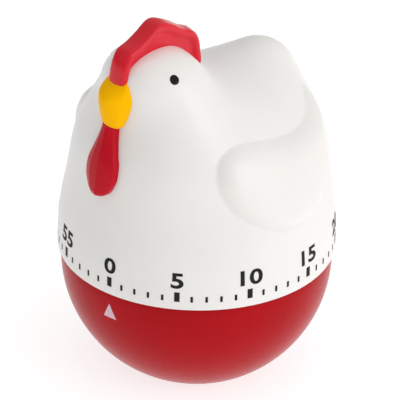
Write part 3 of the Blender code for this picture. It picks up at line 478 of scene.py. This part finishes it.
# ---------------------------------------------------------------- comb
def comb_grid(loop):
    """Points inside the comb's outline: rings that follow the edge, then a plain grid."""
    pitch, grid_depth = 0.42, 1.1
    ring_depths = (0.06, 0.16, 0.32, 0.54, 0.85)
    uncrowded = 0.93       # a ring's point is dropped where another part of the edge is nearer
    flat = [tuple(p) for p in loop]
    normal = inward_normals(loop)
    for depth in ring_depths:
        ring = loop + depth * normal
        distance = outline_distance(ring[:, 0], ring[:, 1], loop)
        flat += [tuple(p) for p, d in zip(ring, distance) if d > depth * uncrowded]
    grid_y, grid_z = np.meshgrid(np.arange(loop[:, 0].min(), loop[:, 0].max(), pitch),
                                 np.arange(loop[:, 1].min(), loop[:, 1].max(), pitch))
    grid = np.stack([grid_y.ravel(), grid_z.ravel()], axis=1)
    distance = outline_distance(grid[:, 0], grid[:, 1], loop)
    return flat + [tuple(p) for p, d in zip(grid, distance) if d > grid_depth]


def inward_normals(loop):
    """Unit vectors that point into a closed outline at each of its points."""
    tangent = np.roll(loop, -1, axis=0) - np.roll(loop, 1, axis=0)
    normal = np.stack([-tangent[:, 1], tangent[:, 0]], axis=1)
    normal /= np.linalg.norm(normal, axis=1)[:, None]
    probe = loop + 0.1 * normal
    if outline_distance(probe[:, 0], probe[:, 1], loop).mean() < 0:
        normal = -normal
    return normal


def comb_half_width(plane, depth):
    """Half the comb's thickness, from the depth inside its outline."""
    rounding = 1 - np.clip(depth / COMB_EDGE, 0, 1)
    half = COMB_HALF_WIDTH - COMB_EDGE + COMB_EDGE * np.sqrt(1 - rounding ** 2)
    half -= COMB_DISH * ease((depth - COMB_RIM) / COMB_SLOPE)
    front_y = -20.0
    end = np.clip(1 - (plane[:, 1] - COMB_END_Z) / COMB_END_HEIGHT, 0, 1)
    end = end * (plane[:, 0] < front_y)
    return np.maximum(half * np.sqrt(1 - 0.93 * end ** 2), 0.2)


def build_comb():
    """A thick red comb with rounded edges, dished sides and a crease along its edge."""
    loop = np.array(smooth_loop(COMB_POINTS, 10))
    ring = len(loop)
    edges = [(i, (i + 1) % ring) for i in range(ring)]
    flat = [Vector(p) for p in comb_grid(loop)]
    points, _, triangles, *_ = delaunay_2d_cdt(flat, edges, [], 1, 1e-6)
    plane = np.array([tuple(p) for p in points])
    depth = np.maximum(outline_distance(plane[:, 0], plane[:, 1], loop), 0.0)
    depth[:ring] = 0.0
    half = comb_half_width(plane, depth)
    count = len(plane)
    solid = [(h, y, z) for (y, z), h in zip(plane, half)]
    solid += [(-h, y, z) for (y, z), h in zip(plane, half)]
    crest = plane[:ring] - COMB_CREST * inward_normals(plane[:ring])
    solid += [(0.0, y, z) for y, z in crest]
    faces = [tuple(t) for t in triangles]
    faces += [tuple(i + count for i in t)[::-1] for t in triangles]
    for a, b in boundary_edges(triangles):
        faces.append((a, b, b + 2 * count, a + 2 * count))
        faces.append((a + 2 * count, b + 2 * count, b + count, a + count))
    comb = add_piece("comb_moulding", solid, faces, "comb", "dial", 50.0)
    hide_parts("comb")


def boundary_edges(triangles):
    """Directed edges that belong to one triangle only."""
    seen = {}
    for t in triangles:
        for a, b in zip(t, t[1:] + t[:1]):
            seen[(a, b)] = True
    return [(b, a) for a, b in seen if (b, a) not in seen]


# ---------------------------------------------------------------- beak, wattle, eyes
def front_surface(x, z):
    """Y of the hen's front at arrays of widths and heights."""
    start = np.stack([x, np.zeros(x.shape), z], axis=-1)
    return outward(start, np.broadcast_to(np.array([0.0, -1.0, 0.0]), start.shape))[..., 1]


def closed_sheet(name, rows, look, smooth_angle):
    """Close a grid of points on the front with a copy of it sunk into the hen."""
    height, width = rows.shape[:2]
    back = rows.copy()
    back[..., 1] += SHEET_SUNK
    points = [tuple(p) for p in rows.reshape(-1, 3)] + [tuple(p) for p in back.reshape(-1, 3)]
    count = height * width
    faces = []
    for j in range(height - 1):
        for i in range(width - 1):
            a = j * width + i
            faces.append((a, a + 1, a + width + 1, a + width))
            faces.append(tuple(k + count for k in (a + width, a + width + 1, a + 1, a)))
    rim = [j * width for j in range(height)] + [(height - 1) * width + i for i in range(1, width)]
    rim += [j * width + width - 1 for j in range(height - 2, -1, -1)]
    rim += list(range(width - 2, 0, -1))
    for a, b in zip(rim, rim[1:] + rim[:1]):
        faces.append((a, b, b + count, a + count))
    return add_piece(name, points, faces, look, "dial", smooth_angle)


def side_curve(side, count):
    """Widths and heights of a smooth open curve, with closer steps near its two ends."""
    line = np.array(side)
    full = np.concatenate([[2 * line[0] - line[1]], line, [2 * line[-1] - line[-2]]])
    fine = []
    steps = 12
    for four in zip(full, full[1:], full[2:], full[3:]):
        fine += [spline(*four, step / steps) for step in range(steps)]
    fine = np.array(fine + [line[-1]])
    share = 0.5 - 0.5 * np.cos(np.linspace(0, np.pi, count))
    z = line[0, 1] + (line[-1, 1] - line[0, 1]) * share
    return np.interp(z, fine[:, 1], fine[:, 0]), z


def rounded(distance, radius):
    """Height, from 0 to 1, of a quarter-round edge at a distance from the rim."""
    t = 1 - np.clip(distance / radius, 0, 1)
    return np.sqrt(1 - t * t)


def build_beak():
    """A full yellow pad, narrow where it goes under the comb and blunt below."""
    half, z = side_curve(BEAK_SIDE, 70)
    s = np.sin(np.linspace(-0.5 * np.pi, 0.5 * np.pi, 61))
    x = BEAK_X + half[:, None] * s[None, :]
    zz = np.broadcast_to(z[:, None], x.shape)
    across = s[None, :] * half[:, None] / BEAK_HALF[0]
    share = np.clip(np.hypot(across, (zz - BEAK_MIDDLE_Z) / BEAK_HALF[1]), 0, 1)
    rim = np.minimum(half[:, None] * (1 - np.abs(s[None, :])), zz - z[0])
    tuck_z, tuck_height = BEAK_TUCK
    lift = BEAK_BULGE * (1 - share ** 1.9) + BEAK_EDGE
    lift = lift * (0.45 + 0.55 * rounded(rim, 0.8))
    lift = lift * (0.06 + 0.94 * ease((tuck_z - zz) / tuck_height))
    rows = np.stack([x, front_surface(x, zz) - lift, zz], axis=-1)
    beak = closed_sheet("beak_moulding", rows, "beak", 60.0)
    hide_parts("beak")


def build_wattle():
    """A long drop with four upright facets, broad and round below."""
    half, z = side_curve(WATTLE_SIDE, 90)
    half = np.maximum(half, 0.12)
    creases = [s for s, _ in WATTLE_FACETS]
    border = np.linspace(0.9, 1, 8)
    s = np.unique(np.concatenate([np.linspace(-1, 1, 41), creases, border, -border]).round(5))
    x = WATTLE_X + half[:, None] * s[None, :]
    zz = np.broadcast_to(z[:, None], x.shape)
    facet = np.interp(s, creases, [h for _, h in WATTLE_FACETS])[None, :]
    fullness = np.clip(half / 3.0 + 0.6 * (z > WATTLE_NECK_Z), 0, 1)[:, None] ** 0.35
    rim = np.minimum(half[:, None] * (1 - np.abs(s[None, :])), (zz - z[0]) * 1.2)
    lift = facet * fullness * (0.55 + 0.45 * rounded(rim, 0.45))
    rows = np.stack([x, front_surface(x, zz) - lift, zz], axis=-1)
    wattle = closed_sheet("wattle_moulding", rows, "wattle", 8.0)
    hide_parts("wattle")


def build_face():
    """Beak, wattle and eyes."""
    build_wattle()
    build_beak()
    y, z = EYE_PLACE
    surface = outward(np.array([0.0, y, z]), np.array([1.0, 0.0, 0.0]))[0]
    for side, name in ((-1, "eye_right"), (1, "eye_left")):
        build_eye(name, np.array([side * surface, y, z]))


def surface_normal(point):
    """Outward direction of the hen's surface near a point."""
    step = 0.01
    slope = [hen(point + step * axis) - hen(point - step * axis) for axis in np.eye(3)]
    return Vector(slope).normalized()


def build_eye(node, place):
    """A polished black bead on a short peg, set into the head."""
    normal = surface_normal(place)
    side = normal.cross(Vector((0, 0, 1))).normalized()
    up = side.cross(normal)
    profile = [(0.0, -EYE_PEG_LENGTH), (EYE_PEG_R, -EYE_PEG_LENGTH), (EYE_PEG_R, -0.1),
               (EYE_R - 0.06, -0.04)]
    profile += [(EYE_R * math.cos(a), EYE_DOME * math.sin(a))
                for a in np.linspace(0.0, 0.5 * math.pi, 12)[:-1]]
    profile.append((0.0, EYE_DOME))
    points, faces = lathe(profile, 48, Vector(place) - EYE_SUNK * normal, side,
                          EYE_TALLNESS * up, normal)
    eye = add_piece(node + "_bead", points, faces, "eye", "dial", 50.0)
    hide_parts(node)


# ---------------------------------------------------------------- printed scale
def film(name, flat_mesh, centre_angle, base_z, look, body, surface, cut=0.4):
    """Wrap a flat XY mesh, in millimetres, round the Z axis as a thin printed film.

    X runs round the ring in the direction of growing numbers, surface(angle, z) gives the
    radius below the film, and cut is the length of the pieces that bend round it.
    """
    flat = bmesh.new()
    flat.from_mesh(flat_mesh)
    xs = [v.co.x for v in flat.verts]
    ys = [v.co.y for v in flat.verts]
    for low, high, axis in ((min(xs), max(xs), (1, 0, 0)), (min(ys), max(ys), (0, 1, 0))):
        for k in range(1, int((high - low) / cut) + 1):
            at = Vector(axis) * (low + k * cut)
            geometry = list(flat.verts) + list(flat.edges) + list(flat.faces)
            bmesh.ops.bisect_plane(flat, geom=geometry, dist=1e-5, plane_co=at, plane_no=axis)
    bmesh.ops.remove_doubles(flat, verts=flat.verts, dist=1e-4)
    flat.verts.ensure_lookup_table()
    count = len(flat.verts)
    places = np.array([v.co for v in flat.verts])
    z = base_z + places[:, 1]
    angle = math.radians(centre_angle) + places[:, 0] / SKIRT_R
    points = []
    for lift in (PRINT_PROUD, -PRINT_SUNK):
        radius = surface(angle, z) + lift
        points += list(zip(radius * np.sin(angle), -radius * np.cos(angle), z))
    faces = [tuple(v.index for v in f.verts) for f in flat.faces]
    faces += [tuple(i + count for i in f)[::-1] for f in faces]
    for edge in flat.edges:
        if len(edge.link_faces) == 1:
            a, b = (v.index for v in edge.verts)
            faces.append((a, b, b + count, a + count))
    flat.free()
    return add_piece(name, points, faces, look, body, 30.0)


def skirt_radius(angle, z):
    """Radius of the hen at angles from its front and heights."""
    start = np.stack([np.zeros(z.shape), np.zeros(z.shape), z], axis=-1)
    direction = np.stack([np.sin(angle), -np.cos(angle), np.zeros(z.shape)], axis=-1)
    hit = outward(start, direction)
    return np.hypot(hit[:, 0], hit[:, 1])


def cup_radius(z, radius=CUP_R, depth=CUP_DEPTH):
    """Radius of the cup's ellipsoid at a height, or at an array of heights."""
    drop = (CUP_EQUATOR_Z - z) / depth
    return radius * np.sqrt(np.maximum(0.0, 1 - drop * drop))


def rectangle(width, height):
    """A flat rectangle mesh standing on Y = 0."""
    mesh = bpy.data.meshes.new("mark_outline")
    half = width / 2
    mesh.from_pydata([(-half, 0, 0), (half, 0, 0), (half, height, 0), (-half, height, 0)], [],
                     [(0, 1, 2, 3)])
    return mesh


def number_mesh(text):
    """A bold number, centred on the origin, in millimetres."""
    curve = bpy.data.curves.new("number", "FONT")
    curve.body = text
    curve.size = 1.0
    curve.offset = 0.026       # thickens the strokes
    curve.resolution_u = 6
    curve.space_character = 1.02
    holder = bpy.data.objects.new("number", curve)
    bpy.context.scene.collection.objects.link(holder)
    bpy.context.view_layer.update()
    mesh = bpy.data.meshes.new_from_object(holder)
    bpy.data.objects.remove(holder)
    places = np.array([v.co for v in mesh.vertices])
    low, high = places.min(axis=0), places.max(axis=0)
    scale = NUMBER_HEIGHT / (high[1] - low[1])
    middle = 0.5 * (low + high)
    for v in mesh.vertices:
        v.co = (v.co - Vector(middle)) * scale
        v.co.x *= NUMBER_WIDENING
    return mesh


def build_scale():
    """Sixty marks and twelve numbers round the hen's skirt, and the pointer on the cup."""
    step = 360.0 / MINUTES
    for minute in range(MINUTES):
        major = minute % LABEL_STEP == 0
        width, height = MAJOR_MARK if major else MINOR_MARK
        film(f"mark_{minute:02d}", rectangle(width, height), SCALE_ZERO + minute * step,
             MARK_LOW_Z, "ink", "dial", skirt_radius, 1.0)
        if major:
            shift = ONE_BEARING if str(minute).startswith("1") else 0.0
            film(f"number_{minute:02d}", number_mesh(str(minute)),
                 SCALE_ZERO + minute * step + shift, NUMBER_Z, "ink", "dial",
                 skirt_radius)
    pointer = bpy.data.meshes.new("pointer_outline")
    width, height, tip_z = POINTER
    pointer.from_pydata([(-width / 2, -height, 0), (width / 2, -height, 0), (0, 0, 0)], [],
                        [(0, 1, 2)])
    film("pointer_print", pointer, POINTER_ANGLE, tip_z, "pointer", "base",
         lambda _angle, z: cup_radius(z))


# ---------------------------------------------------------------- cup
def cup_inside(top_z, low_z, count):
    """Points of the cup's profile, down its inner wall."""
    radius, depth = CUP_R - CUP_WALL, CUP_DEPTH - CUP_WALL
    return [(cup_radius(z, radius, depth), z) for z in np.linspace(top_z, low_z, count)]


def build_cup():
    """The red cup with its flat foot and the rim that rounds inward under the skirt."""
    foot_bevel, rim_bevel = 0.2, 0.3
    profile = [(0.0, 0.0), (cup_radius(0.0) - foot_bevel, 0.0)]
    profile += [(cup_radius(z), z) for z in np.linspace(0.08, 1.0, 8)]
    profile += [(cup_radius(z), z) for z in np.linspace(1.4, CUP_EQUATOR_Z, 60)]
    rim_steps = 18
    for k in range(1, rim_steps + 1):
        angle = math.radians(k * 90 / rim_steps)
        profile.append((LIP_R + (CUP_R - LIP_R) * math.cos(angle),
                        CUP_EQUATOR_Z + (LIP_TOP_Z - CUP_EQUATOR_Z) * math.sin(angle)))
    inner_r = CUP_R - CUP_WALL
    profile += [(inner_r + rim_bevel, LIP_TOP_Z), (inner_r, LIP_TOP_Z - rim_bevel)]
    profile += cup_inside(25.0, LEDGE_Z, 24)
    profile += [(LEDGE_R, LEDGE_Z), (LEDGE_R, LEDGE_LOW_Z)]
    profile += cup_inside(7.4, CUP_FLOOR_Z, 16)
    profile.append((0.0, CUP_FLOOR_Z))
    points, faces = lathe(profile, 192, np.zeros(3), *np.eye(3))
    cup = add_piece("cup_moulding", points, faces, "cup", "base")
    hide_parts("base_cup")


# ---------------------------------------------------------------- movement
NODE_LOOKS = {
    "inner": ("carrier_disc", "bell_post"),
    "steel": ("lower_plate", "upper_plate", "ratchet_wheel", "click", "stop_cam", "pallet_lever",
              "release_lever", "hammer_arm", "hammer_tail"),
    "spring": ("mainspring", "click_spring"),
    "brass": ("great_wheel", "second_wheel", "third_wheel", "escape_wheel", "balance_wheel",
              "arbor_collar", "hammer_head", "pillar_nut_1", "pillar_nut_2", "pillar_nut_3"),
    "gong": ("bell",),
}


def dress_movement():
    """Give every carried-over CAD node a finished material."""
    look_of = {node: look for look, nodes in NODE_LOOKS.items() for node in nodes}
    for name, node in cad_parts.items():
        node.data.materials.clear()
        node.data.materials.append(MATERIALS[look_of.get(name, "turned_steel")])


# ---------------------------------------------------------------- studio
def area_light(name, place, target, size, power):
    """A soft white light with a width and a height, aimed at a target."""
    lamp = bpy.data.lights.new(name, "AREA")
    lamp.shape = "RECTANGLE"
    lamp.size, lamp.size_y = size
    lamp.energy = power
    made = bpy.data.objects.new(name, lamp)
    made.location = place
    aim = Vector(target) - Vector(place)
    made.rotation_euler = aim.to_track_quat("-Z", "Y").to_euler()
    bpy.context.scene.collection.objects.link(made)


def build_surround():
    """A plain white surround, brighter from above and from the lit side."""
    world = bpy.data.worlds.new("studio")
    world.use_nodes = True
    nodes, links = world.node_tree.nodes, world.node_tree.links
    background = nodes["Background"]
    background.inputs["Color"].default_value = (1.0, 1.0, 1.0, 1.0)
    place = nodes.new("ShaderNodeTexCoord")
    side = nodes.new("ShaderNodeVectorMath")
    side.operation = "DOT_PRODUCT"
    side.inputs[1].default_value = BRIGHT_SIDE
    glow = nodes.new("ShaderNodeMapRange")
    glow.inputs["From Min"].default_value = -1.0
    glow.inputs["To Min"].default_value = 0.0
    glow.inputs["To Max"].default_value = SURROUND_STRENGTH
    links.new(place.outputs["Generated"], side.inputs[0])
    links.new(side.outputs["Value"], glow.inputs["Value"])
    links.new(glow.outputs["Result"], background.inputs["Strength"])
    bpy.context.scene.world = world


def build_floor():
    """A wide pale floor that glows faintly, so that shadows on it stay light."""
    made, tree, shader = new_material("studio_floor")
    tone = ramp(tree, noise(tree, 3.0, 2.0), (0.39, 0.39, 0.39), (0.41, 0.41, 0.41))
    tree.links.new(tone, shader.inputs["Base Color"])
    shader.inputs["Roughness"].default_value = 0.8
    shader.inputs["Specular IOR Level"].default_value = 0.1
    shader.inputs["Emission Color"].default_value = (1.0, 1.0, 1.0, 1.0)
    shader.inputs["Emission Strength"].default_value = FLOOR_GLOW
    corners = [(x * FLOOR_HALF, y * FLOOR_HALF, FLOOR_Z)
               for x, y in ((-1, -1), (1, -1), (1, 1), (-1, 1))]
    mesh = bpy.data.meshes.new("studio_floor")
    mesh.from_pydata(corners, [], [(0, 1, 2, 3)])
    mesh.materials.append(made)
    floor = bpy.data.objects.new("studio_floor", mesh)
    bpy.context.scene.collection.objects.link(floor)


def build_camera():
    """The camera, turned round the Z axis and raised, with a little roll."""
    azimuth = math.radians(CAMERA_AZIMUTH)
    elevation = math.radians(CAMERA_ELEVATION)
    away = Vector((math.cos(elevation) * math.sin(azimuth),
                   -math.cos(elevation) * math.cos(azimuth), math.sin(elevation)))
    data = bpy.data.cameras.new("photo_camera")
    data.lens = CAMERA_LENS
    data.sensor_width = 36.0
    data.shift_x, data.shift_y = CAMERA_SHIFT
    data.clip_end = 20.0
    camera = bpy.data.objects.new("photo_camera", data)
    camera.location = Vector((0.0, 0.0, SEAM_Z * MM)) + CAMERA_DISTANCE * away
    facing = (-away).to_track_quat("-Z", "Y").to_matrix().to_4x4()
    roll = Matrix.Rotation(math.radians(CAMERA_ROLL), 4, "Z")
    camera.rotation_euler = (facing @ roll).to_euler()
    bpy.context.scene.collection.objects.link(camera)
    bpy.context.scene.camera = camera


def build_studio():
    """Surround, floor, two soft lights and the camera."""
    bpy.context.scene.view_settings.view_transform = "Standard"
    build_surround()
    build_floor()
    area_light("key", (0.80, 0.15, 0.42), LIGHT_TARGET, (0.55, 0.55), 1.8)
    area_light("fill", (-0.35, -0.70, 0.40), LIGHT_TARGET, (0.6, 0.4), 0.12)
    build_camera()


build_body()
build_comb()
build_face()
build_scale()
build_cup()
dress_movement()
build_studio()
